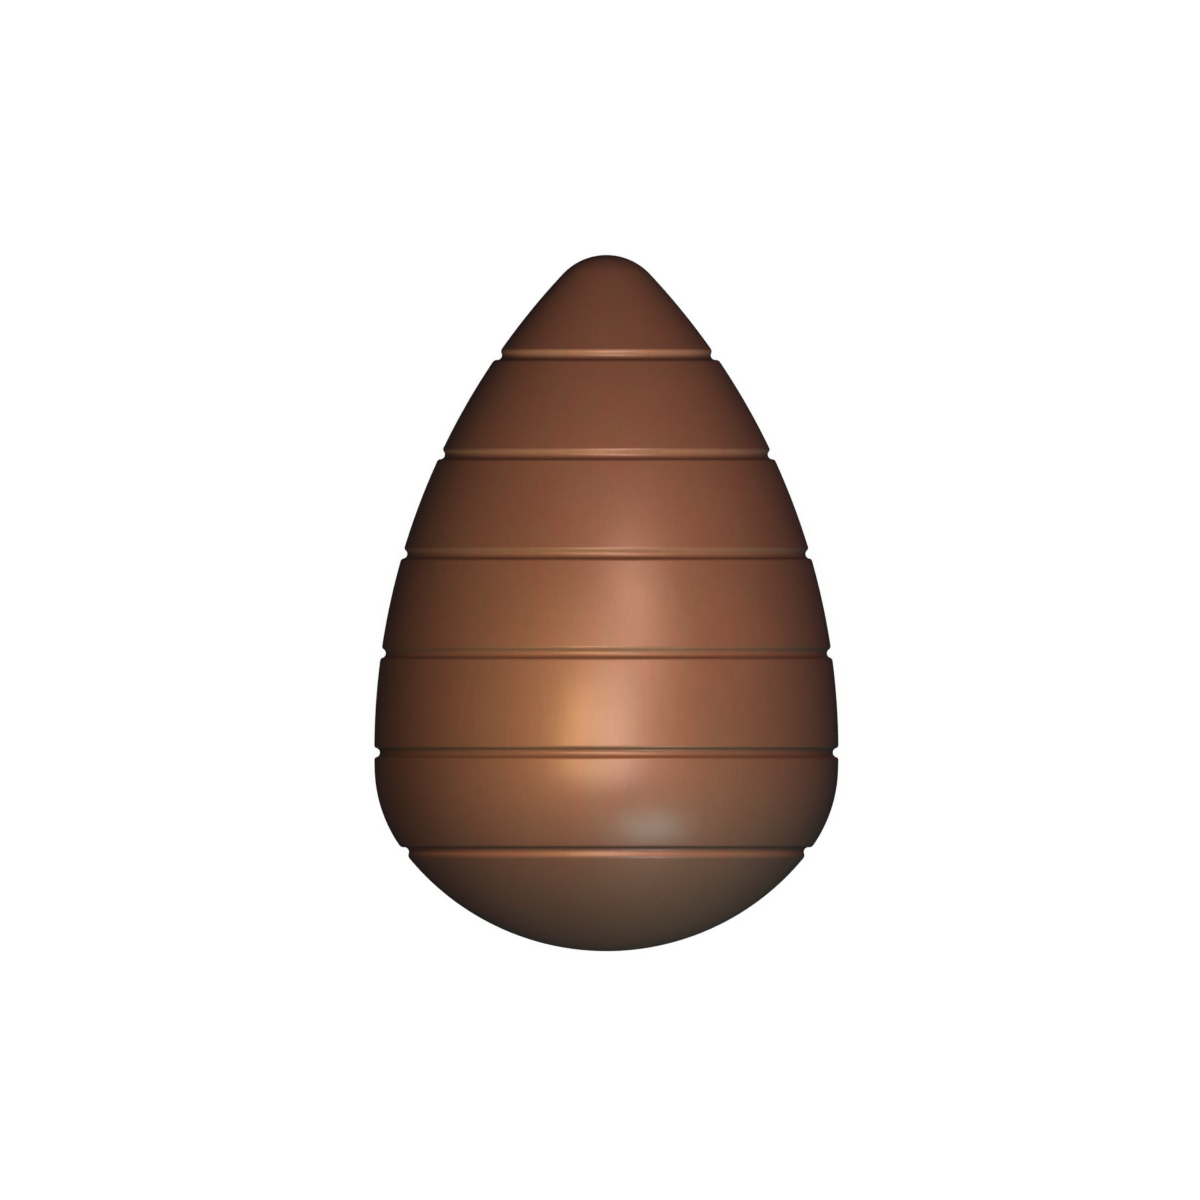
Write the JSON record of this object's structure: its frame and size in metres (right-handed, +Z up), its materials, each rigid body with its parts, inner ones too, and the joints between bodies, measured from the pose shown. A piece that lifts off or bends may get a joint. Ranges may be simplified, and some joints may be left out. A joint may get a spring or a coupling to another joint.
{
  "type": "chocolate egg",
  "caption": "Hollow-moulded milk chocolate egg with a pointed tip, a round base and evenly spaced round grooves, lying on its side.",
  "frame": {"origin": "centre of the small flat spot that the egg lies on, right under its centre of mass", "axes": "+Z up from the ground, +Y along the egg towards its pointed end, +X across it"},
  "size_m": [0.1, 0.1485, 0.1018],
  "materials": {
    "chocolate": "satin"
  },
  "bodies": {
    "root": {"egg": "chocolate"}
  },
  "joints": []
}
